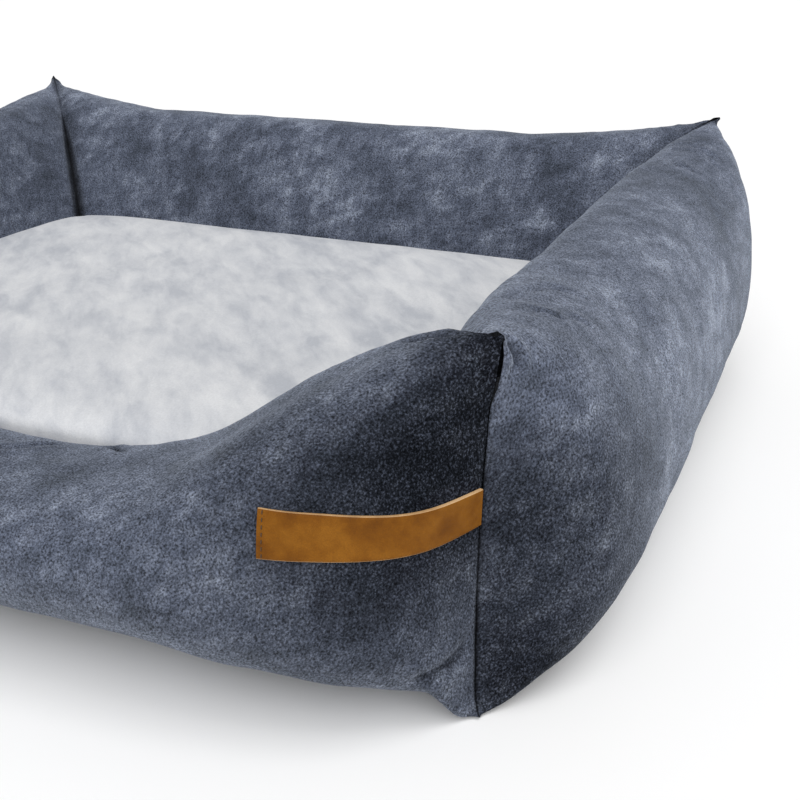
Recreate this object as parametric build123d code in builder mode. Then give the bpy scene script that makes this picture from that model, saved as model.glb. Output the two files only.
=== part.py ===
"""Orthopaedic pet bed: four stuffed bolsters with eared corners and a dipped entry round a lift-out foam mattress.

Frame: millimetres, +X to the right seen from the entry, +Y from the entry to the back wall, +Z up.
The origin lies on the floor under the middle of the bed.
"""

import os
from math import atan, cos, degrees, dist, radians, sin

from build123d import *

os.makedirs("parts", exist_ok=True)

# Driving dimensions: the four walls, measured from the line through the ear tips
ear_span_x = 940.0
ear_span_y = 770.0
ear_height = 270.0
wall_height = 245.0
wall_bulge = 67.0
wall_inset = 86.0
entry_height = 137.0
entry_bulge = 92.0

# Where the shape changes along a wall, measured from the ear
pillow_end = 32.0
ear_run = 86.0
entry_slope = 205.0
entry_flat = 335.0
ear_overrun = 1.5

# Cloth, wadding and the room between pieces
base_thickness = 3.0
cover_thickness = 2.4
wadding_thickness = 6.0
layer_gap = 0.3

# Filling bags, which taper towards the ears
bag_shoulder = 91.0
bag_end = 27.0
bag_taper_share = 0.2
bag_centre_out = -6.0
bag_centre_height = 112.0

# Leather strip on the entry wall, from the corner seam at the right
label_reach = 115.0
label_width = 29.0
label_thickness = 1.8
label_middle_height = 162.0
label_end_gap = 2.0
label_seat_gap = 0.8

# Mattress
mattress_gap = 1.2
mattress_edge_height = 104.0
mattress_crown_height = 118.0
mattress_corner_radius = 42.0
mattress_roundover = 16.0
mattress_crown_inset = 150.0
mattress_waist = 10.0
waist_height = 50.0
waist_width = 32.0
foam_layer_split = 58.0
ticking_thickness = 1.6
foam_gap = 0.4

# Zips: one low on the back wall, one in the rear waist of the mattress
wall_zip_length = 600.0
mattress_zip_length = 480.0
tape_width = 28.0
tape_thickness = 0.8
tape_tail = 12.0
chain_width = 6.4
chain_height = 2.4
stop_length = 5.0
stop_height = 3.2
slider_length = 17.0
slider_nose_width = 13.0
slider_tail_width = 10.6
slider_plate = 1.3
slider_gap = 0.3
slider_chamfer = 1.6
bridge_width = 3.0
bridge_bar = 1.3
bridge_length = 10.0
bridge_opening = 2.6
pull_length = 24.0
pull_width = 9.0
pull_thickness = 1.4
pull_slot_width = 4.2
pull_slot_length = 6.0
pull_eye_bar = 1.5
pull_grip_hole = 4.0
pull_chamfer = 1.8

# Sizes that follow
half_x = ear_span_x / 2
half_y = ear_span_y / 2
pillow_height = (ear_height + wall_height) / 2
ear_centre_y = (entry_bulge - wall_bulge) / 2
stuffing_depth = cover_thickness + wadding_thickness
slider_height = chain_height + slider_gap + slider_plate
hinge_height = slider_gap + slider_height + bridge_opening / 2

# Outlines across a wall, as shares: outward of the ear line, inward of it, up the height, and
# how far the edge that starts at the point bows out, as a share of its own length.
# Rows: outer foot, belly, shoulder, outer crown, inner crown, brow, inner foot.
wall_shares = (
    (0, 0.47, 0, 0.172),
    (1, 0, 0.365, 0.018),
    (0.94, 0, 0.62, 0.186),
    (0, 0.42, 1, 0.03),
    (0, 0.58, 1, 0.2),
    (0, 0.96, 0.85, 0),
    (0, 1, 0, 0),
)
pillow_shares = (
    (0, 0.25, 0, 0.13),
    (0.52, 0, 0.345, 0.02),
    (0.5, 0, 0.63, 0.12),
    (0, 0.16, 1, 0.02),
    (0, 0.26, 0.99, 0.08),
    (0, 0.67, 0.865, 0),
    (0, 1, 0, 0),
)
ear_shares = (
    (0, 0.16, 0, 0.03),
    (0, 0.54, 0.31, 0.02),
    (0, 0.24, 0.7, 0.02),
    (0, 0, 1, 0),
    (0, 0.05, 0.985, 0.03),
    (0, 0.6, 0.82, 0),
    (0, 1, 0, 0),
)
entry_shares = (
    (0, 0.47, 0, 0.172),
    (1, 0, 0.81, 0.018),
    (0.99, 0, 0.845, 0.186),
    (0.828, 0, 0.948, 0.06),
    (0, 0.58, 0.948, 0.2),
    (0, 0.96, 0.7, 0),
    (0, 1, 0, 0),
)
entry_slope_share = 0.74

# How each point of an outline moves in when the outline shrinks by 1: outward, up
shrink_shares = ((-1.2, 1), (-1, 0.2), (-1, -0.3), (-0.3, -1), (0.1, -1), (0.9, -0.7), (1, 1))

# Directions that the flat sides of a filling bag face, as degrees up from straight outward
bag_facings = (-90, -62, -32, 0, 32, 62, 95, 125, 155, 178)

# Rows up the side of the mattress: share of the way up to the waist, drawn in as a share of the roundover
mattress_low_shares = ((0, 1), (0.23, 0.25))
mattress_high_shares = ((0.58, 0.06), (1, 0.87))
# Rows over its crown: share of the way up the crown, share of the way in to its flat top
mattress_crown_shares = ((0.64, 0.4), (1, 1))

# Rows across the leather strip: share of its width from its middle
label_row_shares = (-0.5, -0.17, 0.17, 0.5)

# A zip chain across its width: share of the width, share of the height
chain_shares = (
    (-0.5, 0),
    (-0.5, 0.6),
    (-0.38, 1),
    (-0.12, 1),
    (0, 0.67),
    (0.12, 1),
    (0.38, 1),
    (0.5, 0.6),
    (0.5, 0),
)


def outline(shares, bulge, height):
    """Points across a wall: outward from the ear line, up from the floor, and the bow of each edge."""
    rise = height - base_thickness
    return [(out * bulge - back * wall_inset, base_thickness + up * rise, bow) for out, back, up, bow in shares]


def mix(first, second, share):
    """An outline part of the way from one outline to another."""
    return [tuple(a + (b - a) * share for a, b in zip(one, other)) for one, other in zip(first, second)]


def shrink(points, amount):
    """An outline drawn in by an amount all round, or let out where the amount is negative."""
    return [
        (out + amount * move_out, up + amount * move_up, bow)
        for (out, up, bow), (move_out, move_up) in zip(points, shrink_shares)
    ]


ear_outline = outline(ear_shares, wall_bulge, ear_height)
pillow_outline = outline(pillow_shares, wall_bulge, pillow_height)
wall_outline = outline(wall_shares, wall_bulge, wall_height)
entry_outline = outline(entry_shares, entry_bulge, entry_height)
slope_outline = mix(wall_outline, entry_outline, entry_slope_share)

# Stations along half a wall: distance in from the ear, and the outline there
wall_stations = ((-ear_overrun, ear_outline), (pillow_end, pillow_outline), (ear_run, wall_outline))
entry_stations = wall_stations + ((entry_slope, slope_outline), (entry_flat, entry_outline))


def half_length(side):
    """Half the distance between the ears of a wall."""
    return half_x if side in ("front", "back") else half_y


def wall_plane(side, along):
    """Plane across a wall at a distance along it: local X points outward and local Y up."""
    origin, run, out = {
        "front": (Vector(0, ear_centre_y - half_y, 0), Vector(1, 0, 0), Vector(0, -1, 0)),
        "back": (Vector(0, ear_centre_y + half_y, 0), Vector(-1, 0, 0), Vector(0, 1, 0)),
        "right": (Vector(half_x, ear_centre_y, 0), Vector(0, 1, 0), Vector(1, 0, 0)),
        "left": (Vector(-half_x, ear_centre_y, 0), Vector(0, -1, 0), Vector(-1, 0, 0)),
    }[side]
    return Plane(origin=origin + run * along, x_dir=out, z_dir=run * -1)


def mitre_plane(side, end, back_off=0):
    """The upright 45 degree plane of a corner seam, moved back along the wall, facing the wall."""
    across = wall_plane(side, end * (half_length(side) - back_off))
    run = across.z_dir * -1
    return Plane(origin=across.origin, x_dir=across.x_dir + run * end, z_dir=across.x_dir - run * end)


def bowed_section(plane, points):
    """A closed sketch through an outline, each edge an arc where it bows and a line where it doesn't."""
    with BuildSketch(plane) as section:
        with BuildLine():
            for (out, up, bow), (next_out, next_up, _) in zip(points, points[1:]):
                length = dist((out, up), (next_out, next_up))
                if bow:
                    SagittaArc((out, up), (next_out, next_up), -bow * length)
                else:
                    Line((out, up), (next_out, next_up))
            Line(points[-1][:2], points[0][:2])
        make_face()
    return section.sketch.face()


def end_sections(side, end, stations, amount=0):
    """The sections of one end of a wall, from its ear inwards, drawn in by an amount."""
    return [
        bowed_section(wall_plane(side, end * (half_length(side) - distance)), shrink(points, amount))
        for distance, points in stations
    ]


def wall_body(side, stations):
    """A wall from ear to ear: lofted ends, a straight middle, and a 45 degree cut at each corner seam."""
    middle = half_length(side) - stations[-1][0]
    with BuildPart() as body:
        for end in (-1, 1):
            loft(end_sections(side, end, stations), ruled=True)
        across = wall_plane(side, -middle)
        extrude(bowed_section(across, stations[-1][1]), amount=2 * middle, dir=across.z_dir * -1)
        for end in (-1, 1):
            split(bisect_by=mitre_plane(side, end), keep=Keep.TOP)
    return body.part


def bag_points(points, depth):
    """Corners of the flat-sided bag that lies a depth inside an outline."""
    touched = list(points)
    for (out, up, bow), (next_out, next_up, _) in zip(points, points[1:]):
        for share in (0.25, 0.5, 0.75):
            rise = 4 * bow * share * (1 - share)
            touched.append((
                out + (next_out - out) * share + (next_up - up) * rise,
                up + (next_up - up) * share - (next_out - out) * rise,
                0,
            ))
    sides = []
    for facing in bag_facings:
        across, upward = cos(radians(facing)), sin(radians(facing))
        sides.append((across, upward, max(out * across + up * upward for out, up, _ in touched) - depth))
    corners = []
    for (a, b, reach), (c, d, next_reach) in zip(sides, sides[1:] + sides[:1]):
        area = a * d - b * c
        corners.append(((reach * d - b * next_reach) / area, (a * next_reach - reach * c) / area))
    return corners


def bag_body(side, stations, play=0):
    """A flat-sided filling bag along a wall, with ends that taper towards the ears. Play makes it smaller."""
    half = half_length(side)
    rows = [(distance, bag_points(points, stuffing_depth + play)) for distance, points in stations]
    tapered = [
        (
            bag_centre_out + (out - bag_centre_out) * bag_taper_share,
            bag_centre_height + (up - bag_centre_height) * bag_taper_share,
        )
        for out, up in rows[0][1]
    ]
    rows[0] = (bag_shoulder + play, rows[0][1])
    rows.insert(0, (bag_end + play, tapered))
    rings = []
    for along, corners in [(half - distance, row) for distance, row in rows] + [
        (distance - half, row) for distance, row in rows[::-1]
    ]:
        plane = wall_plane(side, along)
        rings.append([plane.from_local_coords(corner) for corner in corners])
    outlines = [rings[0], rings[-1]]
    for ring, next_ring in zip(rings, rings[1:]):
        for index in range(len(ring)):
            outlines.append([ring[index - 1], ring[index], next_ring[index], next_ring[index - 1]])
    return Solid(Shell([Face(Wire.make_polygon(points)) for points in outlines]))


def label_strip(wall):
    """A leather strip laid on the entry wall's bulge, from the corner seam towards the entry."""
    columns = [
        wall_plane("front", half_x - distance)
        for distance in (label_reach, (label_reach + ear_run) / 2, ear_run, (ear_run + pillow_end) / 2, pillow_end)
    ]
    columns.append(mitre_plane("front", 1, label_end_gap))
    heights = [label_middle_height + label_width * share for share in label_row_shares]
    back, face = [], []
    for column in columns:
        for height in heights:
            start = column.from_local_coords((-wall_inset / 2, height))
            seat, normal = wall.find_intersection_points(Axis(start, column.x_dir))[-1]
            back.append(seat + normal * label_seat_gap)
            face.append(seat + normal * (label_seat_gap + label_thickness))
    rows = len(heights)
    sides = []
    for corner in range(len(back) - rows):
        if (corner + 1) % rows:
            cell = (corner, corner + rows, corner + rows + 1, corner + 1)
            sides.append([face[index] for index in cell])
            sides.append([back[index] for index in cell])
    last = len(back) - rows
    rim = list(range(rows)) + list(range(2 * rows - 1, last, rows)) + list(range(last + rows - 1, last - 1, -1))
    rim += list(range(last - rows, 0, -rows))
    for index, corner in enumerate(rim):
        before = rim[index - 1]
        sides.append([back[before], back[corner], face[corner], face[before]])
    triangles = []
    for a, b, c, d in sides:
        triangles += [Face(Wire.make_polygon([a, b, c])), Face(Wire.make_polygon([a, c, d]))]
    return Solid(Shell(triangles))


def base_sheet():
    """The anti-slip bottom sheet, as wide as the feet of the walls."""
    feet = [(distance, -points[0][0]) for distance, points in wall_stations]
    (first, first_foot), (second, second_foot) = feet[0], feet[1]
    slope = (second_foot - first_foot) / (second - first)
    corner = (first_foot - first * slope) / (1 - slope)
    with BuildPart() as sheet:
        with BuildSketch():
            with BuildLine():
                rim = []
                for side in ("front", "right", "back", "left"):
                    half = half_length(side)
                    run = [(distance, foot) for distance, foot in feet[1:]]
                    steps = [(distance - half, foot) for distance, foot in [(corner, corner)] + run]
                    steps += [(half - distance, foot) for distance, foot in run[::-1]]
                    rim += [wall_plane(side, along).origin - wall_plane(side, along).x_dir * foot
                            for along, foot in steps]
                Polyline([(point.X, point.Y) for point in rim], close=True)
            make_face()
        extrude(amount=base_thickness)
    return sheet.part


def mattress_rows():
    """Rows up the waisted sides of the mattress: height, and how far drawn in from the walls."""
    foot = base_thickness + layer_gap
    waist_low = waist_height - waist_width / 2
    waist_high = waist_height + waist_width / 2
    low = [(foot + (waist_low - foot) * up, mattress_roundover * drawn) for up, drawn in mattress_low_shares]
    waist = [(waist_low, mattress_waist), (waist_high, mattress_waist)]
    high = [
        (waist_high + (mattress_edge_height - waist_high) * up, mattress_roundover * drawn)
        for up, drawn in mattress_high_shares
    ]
    return low + waist + high


def core_rows(depth):
    """Rows up the straight sides of a block of foam that lies a depth inside the mattress."""
    rows = mattress_rows()
    drawn = rows[-1][1] + depth
    return [(rows[0][0] + depth, drawn), (rows[-1][0] - depth, drawn)]


def mattress_row(height, drawn):
    """The mattress's rounded rectangle at a height, drawn in from the walls."""
    with BuildSketch(Plane((0, ear_centre_y, height))) as row:
        RectangleRounded(
            ear_span_x - 2 * (wall_inset + mattress_gap + drawn),
            ear_span_y - 2 * (wall_inset + mattress_gap + drawn),
            mattress_corner_radius - drawn,
        )
    return row.sketch


def mattress_block(rows):
    """The crowned form of the mattress or its core, from the rows up its sides."""
    with BuildPart() as block:
        for (height, drawn), (next_height, next_drawn) in zip(rows, rows[1:]):
            rise = next_height - height
            extrude(mattress_row(height, drawn), amount=rise, taper=degrees(atan((next_drawn - drawn) / rise)))
        edge, edge_drawn = rows[-1]
        crown_rise = mattress_crown_height - mattress_edge_height
        extrude(mattress_row(edge, edge_drawn), amount=crown_rise)
        low_point = (edge, edge_drawn)
        for up, inward in mattress_crown_shares:
            high_point = (edge + crown_rise * up, edge_drawn + (mattress_crown_inset - edge_drawn) * inward)
            for side in ("front", "back", "left", "right"):
                split(bisect_by=crown_plane(side, low_point, high_point), keep=Keep.BOTTOM)
            low_point = high_point
    return block.part


def crown_plane(side, low_point, high_point):
    """The plane of one slope of the mattress's crown, facing up, through two rows on one side."""
    across = wall_plane(side, 0)
    low, high = [
        across.from_local_coords((-wall_inset - mattress_gap - drawn, height))
        for height, drawn in (low_point, high_point)
    ]
    return Plane(origin=low, x_dir=across.z_dir, z_dir=(high - low).cross(across.z_dir))


def zip_plane(origin, normal):
    """Plane on top of a zip's tape: local X runs along the zip and local Z stands off the cloth."""
    return Plane(origin=origin, x_dir=(1, 0, 0), z_dir=normal)


def zip_chain(plane, length):
    """The meshed coils of a closed zip, as a bar with a groove down its middle."""
    chain_length = length - 2 * stop_length
    with BuildPart() as chain:
        with BuildSketch(Plane(origin=plane.origin - plane.x_dir * chain_length / 2, x_dir=plane.y_dir,
                               z_dir=plane.x_dir)):
            with BuildLine():
                Polyline([(across * chain_width, up * chain_height) for across, up in chain_shares], close=True)
            make_face()
        extrude(amount=chain_length)
    return chain.part


def zip_stops(plane, length):
    """The two metal stops at the ends of a zip."""
    with BuildPart() as stops:
        with BuildSketch(plane):
            with GridLocations(length - stop_length, 0, 2, 1):
                Rectangle(stop_length, chain_width + 2 * slider_gap)
        extrude(amount=stop_height)
    return stops.part


def slider_plane(plane, length):
    """The zip's plane, moved along it to the middle of its slider, beside the far stop."""
    centre = length / 2 - stop_length - slider_gap - slider_length / 2
    return Plane(origin=plane.origin + plane.x_dir * centre, x_dir=plane.x_dir, z_dir=plane.z_dir)


def zip_slider(plane):
    """A slider that straddles the chain, wider at its nose, with a bridge for the pull."""
    nose, tail = slider_nose_width / 2, slider_tail_width / 2
    side_plane = Plane(origin=plane.origin, x_dir=plane.x_dir, z_dir=plane.y_dir * -1)
    deck = slider_gap + slider_height
    with BuildPart() as slider:
        with BuildSketch(plane.offset(slider_gap)) as outer:
            with BuildLine():
                Polyline(
                    (-slider_length / 2, -tail),
                    (0, -tail),
                    (slider_length / 2, -nose),
                    (slider_length / 2, nose),
                    (0, tail),
                    (-slider_length / 2, tail),
                    close=True,
                )
            make_face()
            chamfer(outer.vertices().group_by(Axis.X)[0] + outer.vertices().group_by(Axis.X)[-1], slider_chamfer)
        extrude(amount=slider_height)
        with BuildSketch(side_plane):
            with Locations((0, (chain_height + slider_gap) / 2)):
                Rectangle(2 * slider_length, chain_height + slider_gap)
        extrude(amount=chain_width / 2 + slider_gap, both=True, mode=Mode.SUBTRACT)
        with BuildSketch(side_plane) as bridge:
            with Locations((0, deck + (bridge_opening + bridge_bar) / 2)):
                Rectangle(bridge_length, bridge_opening + bridge_bar)
            fillet(bridge.vertices().group_by(Axis.Y)[-1], bridge_bar)
            with Locations((0, deck + bridge_opening / 2)):
                Rectangle(bridge_length - 2 * bridge_bar, bridge_opening, mode=Mode.SUBTRACT)
        extrude(amount=bridge_width / 2, both=True)
    return slider.part


def zip_pull(plane, direction):
    """A pull tab whose round eye bar passes under the slider's bridge, pointing in a direction from it."""
    hinge = plane.origin + plane.z_dir * hinge_height
    with BuildPart() as pull:
        with BuildSketch(Plane(origin=hinge, x_dir=direction, z_dir=direction.cross(plane.y_dir))) as tab:
            Rectangle(pull_length - pull_eye_bar / 2, pull_width, align=(Align.MIN, Align.CENTER))
            chamfer(tab.vertices().group_by(Axis.X)[-1], pull_chamfer)
            Rectangle(pull_slot_length, pull_slot_width, align=(Align.MIN, Align.CENTER), mode=Mode.SUBTRACT)
            with Locations((pull_length - pull_width / 2, 0)):
                Circle(pull_grip_hole / 2, mode=Mode.SUBTRACT)
        extrude(amount=pull_thickness / 2, both=True)
        with BuildSketch(Plane(origin=hinge, x_dir=direction, z_dir=plane.y_dir)):
            Circle(pull_eye_bar / 2)
        extrude(amount=pull_width / 2, both=True)
    return pull.part


def write(piece, name):
    """Label a finished piece and write its STEP file."""
    piece.label = name
    export_step(piece, f"parts/{name}.step")


# Walls: a cloth cover round a filling bag
for side in ("front", "back", "left", "right"):
    stations = entry_stations if side == "front" else wall_stations
    bag_stations = stations[2:]
    with BuildPart() as cover:
        add(wall_body(side, stations))
        add(bag_body(side, bag_stations), mode=Mode.SUBTRACT)
    write(cover.part, f"cover_{side}")
    with BuildPart() as filling:
        add(bag_body(side, bag_stations, layer_gap))
    write(filling.part, f"filling_{side}")

# Bottom sheet
with BuildPart() as base_panel:
    add(base_sheet())
write(base_panel.part, "base_panel")

# Leather strip
with BuildPart() as leather_label:
    add(label_strip(wall_body("front", entry_stations)))
write(leather_label.part, "leather_label")

# Mattress cover, sewn from a top, a side band and a bottom
bottom_seam = mattress_rows()[1][0]
top_seam = mattress_rows()[4][0]
with BuildPart() as ticking:
    add(mattress_block(mattress_rows()))
    add(mattress_block(core_rows(ticking_thickness)), mode=Mode.SUBTRACT)
with BuildPart() as mattress_cover_top:
    add(ticking.part)
    split(bisect_by=Plane.XY.offset(top_seam), keep=Keep.TOP)
write(mattress_cover_top.part, "mattress_cover_top")
with BuildPart() as mattress_cover_band:
    add(ticking.part)
    split(bisect_by=Plane.XY.offset(top_seam), keep=Keep.BOTTOM)
    split(bisect_by=Plane.XY.offset(bottom_seam), keep=Keep.TOP)
write(mattress_cover_band.part, "mattress_cover_band")
with BuildPart() as mattress_cover_bottom:
    add(ticking.part)
    split(bisect_by=Plane.XY.offset(bottom_seam), keep=Keep.BOTTOM)
write(mattress_cover_bottom.part, "mattress_cover_bottom")

# Foam core of two layers
for name, keep in (("memory_foam", Keep.TOP), ("support_foam", Keep.BOTTOM)):
    with BuildPart() as foam:
        add(mattress_block(core_rows(ticking_thickness + foam_gap)))
        split(bisect_by=Plane.XY.offset(foam_layer_split), keep=keep)
    write(foam.part, name)

# Wall zip: its tape follows the low outer curve of the back wall
(foot_out, foot_up, foot_bow), (belly_out, belly_up, _) = wall_outline[:2]
chord = Vector(belly_out - foot_out, belly_up - foot_up)
bow_height = foot_bow * chord.length
bow_radius = (chord.length / 2) ** 2 / (2 * bow_height) + bow_height / 2
out_share, up_share = chord.Y / chord.length, -chord.X / chord.length
middle_out = (foot_out + belly_out) / 2 + out_share * bow_height
middle_up = (foot_up + belly_up) / 2 + up_share * bow_height
tape_rise = layer_gap + tape_thickness
with BuildPart() as wall_zip_tape:
    with BuildSketch(wall_plane("back", -wall_zip_length / 2 - tape_tail)):
        with Locations((middle_out - out_share * bow_radius, middle_up - up_share * bow_radius)):
            Circle(bow_radius + tape_rise)
            Circle(bow_radius + layer_gap, mode=Mode.SUBTRACT)
        with Locations(Location((middle_out, middle_up), Vector(out_share, up_share).get_signed_angle(Vector(1, 0)))):
            Rectangle(tape_width, tape_width, mode=Mode.INTERSECT)
    extrude(amount=-wall_zip_length - 2 * tape_tail)
write(wall_zip_tape.part, "wall_zip_tape")
back_y = wall_plane("back", 0).origin.Y
wall_zip = zip_plane(
    (0, back_y + middle_out + out_share * tape_rise, middle_up + up_share * tape_rise), (0, out_share, up_share)
)

# Mattress zip: a flat tape in the rear waist
waist_back_y = back_y - wall_inset - mattress_gap - mattress_waist
mattress_zip = zip_plane((0, waist_back_y + tape_rise, waist_height), (0, 1, 0))
with BuildPart() as mattress_zip_tape:
    with BuildSketch(mattress_zip):
        Rectangle(mattress_zip_length + 2 * tape_tail, tape_width)
    extrude(amount=-tape_thickness)
write(mattress_zip_tape.part, "mattress_zip_tape")

# Chains, stops, sliders and pulls of both zips
for name, plane, length in (
    ("wall_zip", wall_zip, wall_zip_length),
    ("mattress_zip", mattress_zip, mattress_zip_length),
):
    at_slider = slider_plane(plane, length)
    hanging = plane.z_dir if name == "wall_zip" else plane.x_dir * -1
    write(zip_chain(plane, length), f"{name}_chain")
    write(zip_stops(plane, length), f"{name}_stops")
    write(zip_slider(at_slider), f"{name}_slider")
    write(zip_pull(at_slider, hanging), f"{name}_pull")
    hinge = at_slider.origin + plane.z_dir * hinge_height
    print(name, "hinge", [round(value, 3) for value in hinge], "axis", [round(value, 4) for value in plane.y_dir])
    print(name, "travel", length - 2 * stop_length - slider_length - 2 * slider_gap)
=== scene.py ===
"""Looks of the orthopaedic pet bed.

Stuffed velour walls with eared corners and a dipped entry, round a crowned mattress with a foam core.
Frame: metres, +X to the right seen from the entry, +Y from the entry to the back wall, +Z up.
"""

from math import cos, pi, radians, sin

import bpy
import numpy as np
from mathutils import Matrix, Vector


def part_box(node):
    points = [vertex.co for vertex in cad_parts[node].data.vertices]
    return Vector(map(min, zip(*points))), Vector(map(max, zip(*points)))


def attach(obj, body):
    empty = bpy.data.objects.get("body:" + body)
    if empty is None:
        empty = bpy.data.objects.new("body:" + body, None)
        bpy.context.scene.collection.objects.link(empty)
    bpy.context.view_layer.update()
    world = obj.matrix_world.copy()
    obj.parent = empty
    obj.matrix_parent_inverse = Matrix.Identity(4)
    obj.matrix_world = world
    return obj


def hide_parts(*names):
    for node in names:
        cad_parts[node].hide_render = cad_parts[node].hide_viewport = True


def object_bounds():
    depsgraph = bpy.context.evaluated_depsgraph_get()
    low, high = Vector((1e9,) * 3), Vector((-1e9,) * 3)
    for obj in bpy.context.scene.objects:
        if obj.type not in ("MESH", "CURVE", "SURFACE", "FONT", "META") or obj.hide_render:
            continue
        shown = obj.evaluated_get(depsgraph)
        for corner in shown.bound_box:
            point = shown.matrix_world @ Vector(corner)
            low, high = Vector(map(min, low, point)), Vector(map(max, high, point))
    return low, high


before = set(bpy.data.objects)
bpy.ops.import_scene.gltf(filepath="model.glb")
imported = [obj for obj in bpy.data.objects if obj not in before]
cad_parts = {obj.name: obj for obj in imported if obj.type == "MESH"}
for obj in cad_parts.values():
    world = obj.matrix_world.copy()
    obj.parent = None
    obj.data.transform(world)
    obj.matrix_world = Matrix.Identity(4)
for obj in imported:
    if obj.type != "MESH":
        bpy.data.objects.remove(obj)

cad_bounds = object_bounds()

# The four walls, measured from the line through the ear tips
ear_span_x = 0.940
ear_span_y = 0.770
ear_height = 0.270
ear_shift_y = 0.0125
ear_centre_y = (cad_bounds[0][1] + cad_bounds[1][1]) / 2 + ear_shift_y
base_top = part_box("base_panel")[1].z
half_lengths = {
    "front": ear_span_x / 2,
    "back": ear_span_x / 2,
    "left": ear_span_y / 2,
    "right": ear_span_y / 2,
}

# Keys of a wall's outline: foot, belly, crown, inner side and inner foot, outward of the ear line and up
ear_keys = {"foot": -0.0100, "belly": -0.0144, "belly_up": 0.0838, "crown": 0.0, "crown_up": ear_height,
            "inner": -0.0999, "inner_up": 0.1118, "inner_foot": -0.090}
wall_keys = {"foot": -0.0498, "belly": 0.0670, "belly_up": 0.0913, "crown": -0.0429, "crown_up": 0.2455,
             "inner": -0.0840, "inner_up": 0.1067, "inner_foot": -0.084}
entry_keys = {"foot": -0.0498, "belly": 0.0930, "belly_up": 0.1103, "crown": 0.0276, "crown_up": 0.1300,
              "inner": -0.0760, "inner_up": 0.0784, "inner_foot": -0.084}
# How round each quarter of an outline is, at the ear and along the wall: a superellipse's power
foot_powers = (3.82, 1.764)
side_powers = (1.411, 2.412)
# How far from the ear a key settles, and how the curve up to it leans
side_rise = (0.2954, 1.969, 1.575)
belly_rise = (0.2093, 3.327, 4.178)
crown_rise = (0.2152, 1.442, 1.083)
# Between these distances from the ear the foot draws in under the wall
foot_reach = {
    "front": (0.008, 0.028),
    "back": (0.026, 0.100),
    "left": (0.040, 0.130),
    "right": (0.040, 0.130),
}
# How soon the foot's quarter of the outline grows round
foot_rise = (0.035, 2.0, 1.5)
# How softly the belly comes in to a corner seam
seam_softness = 0.014
# Between which distances from the ear the entry dips, and how the dip's slope leans
entry_reach = (0.033, 0.375)
entry_lean = 0.4418

# How finely a wall is divided: along it, in each quarter of its outline, and across its sole
wall_steps = 360
quarter_steps = 46
sole_steps = 8
crown_column = 2 * quarter_steps - 2
tiny = 1e-12


def rise(distance, reach, lean, power):
    """A curve from 0 at an ear to 1 at its reach along the wall."""
    near = np.clip(distance / reach, 0, 1)
    return (1 - (1 - near) ** lean) ** (1 / power)


def belly_settles(distance):
    """How far the belly has come out at a distance from the corner seam."""
    return rise(distance, *belly_rise) * (1 - np.exp(-distance / seam_softness))


def smooth(low, high, value):
    """A smooth step from 0 at low to 1 at high."""
    share = np.clip((value - low) / (high - low), 0, 1)
    return share * share * (3 - 2 * share)


def quarter(side_point, end_point, power):
    """A quarter of a superellipse, from its upright side to its level end."""
    turn = np.linspace(0, pi / 2, quarter_steps)
    across = np.cos(turn) ** (2 / power)
    up = np.sin(turn) ** (2 / power)
    return np.stack([
        side_point[0] + (end_point[0] - side_point[0]) * (1 - across),
        side_point[1] + (end_point[1] - side_point[1]) * up,
    ], 1)


def wall_outline(side, distance):
    """The closed outline across a wall at a distance from its ear, as points outward and up."""
    settled = wall_keys
    if side == "front":
        dip = smooth(*entry_reach, distance) ** entry_lean
        settled = {key: value + (entry_keys[key] - value) * dip for key, value in wall_keys.items()}
    side_share = rise(distance, *side_rise)
    belly_share = belly_settles(distance)
    foot_share = smooth(*foot_reach[side], distance)
    crown_share = rise(distance, *crown_rise)
    shares = {"foot": foot_share, "belly": belly_share, "belly_up": belly_share, "crown": crown_share,
              "crown_up": crown_share}
    keys = {key: ear_keys[key] + (value - ear_keys[key]) * shares.get(key, side_share)
            for key, value in settled.items()}
    foot_power = foot_powers[0] + (foot_powers[1] - foot_powers[0]) * rise(distance, *foot_rise)
    belly_power = side_powers[0] + (side_powers[1] - side_powers[0]) * belly_share
    inner_power = side_powers[0] + (side_powers[1] - side_powers[0]) * side_share
    belly, inner = (keys["belly"], keys["belly_up"]), (keys["inner"], keys["inner_up"])
    crown, foot = (keys["crown"], keys["crown_up"]), (keys["foot"], base_top)
    inner_foot = (keys["inner_foot"], base_top)
    sole = np.linspace(inner_foot, foot, sole_steps + 1)
    return np.concatenate([
        quarter(belly, foot, foot_power)[::-1],
        quarter(belly, crown, belly_power)[1:],
        quarter(inner, crown, inner_power)[::-1][1:],
        quarter(inner, inner_foot, inner_power)[1:],
        sole[1:-1],
    ])


def place(side, along, out, up):
    """Points of a wall in the bed's frame, from along the wall, outward of its ear line, and up."""
    half_x, half_y = ear_span_x / 2, ear_span_y / 2
    return {
        "front": lambda: np.stack([along, ear_centre_y - half_y - out, up], -1),
        "back": lambda: np.stack([-along, ear_centre_y + half_y + out, up], -1),
        "right": lambda: np.stack([half_x + out, ear_centre_y + along, up], -1),
        "left": lambda: np.stack([-half_x - out, ear_centre_y - along, up], -1),
    }[side]()


def cloud(points, size, seed):
    """Smooth seeded noise from -1 to 1 over points, with blobs of a size."""
    cells = 32
    lattice = np.random.default_rng(seed).uniform(-1, 1, (cells, cells, cells))
    steps = points / size
    cell = np.floor(steps).astype(int)
    part = steps - cell
    part = part * part * (3 - 2 * part)
    total = np.zeros(points.shape[:-1])
    for corner in np.ndindex(2, 2, 2):
        weight = np.prod(np.where(corner, part, 1 - part), axis=-1)
        index = (cell + corner) % cells
        total += weight * lattice[index[..., 0], index[..., 1], index[..., 2]]
    return total


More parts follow.
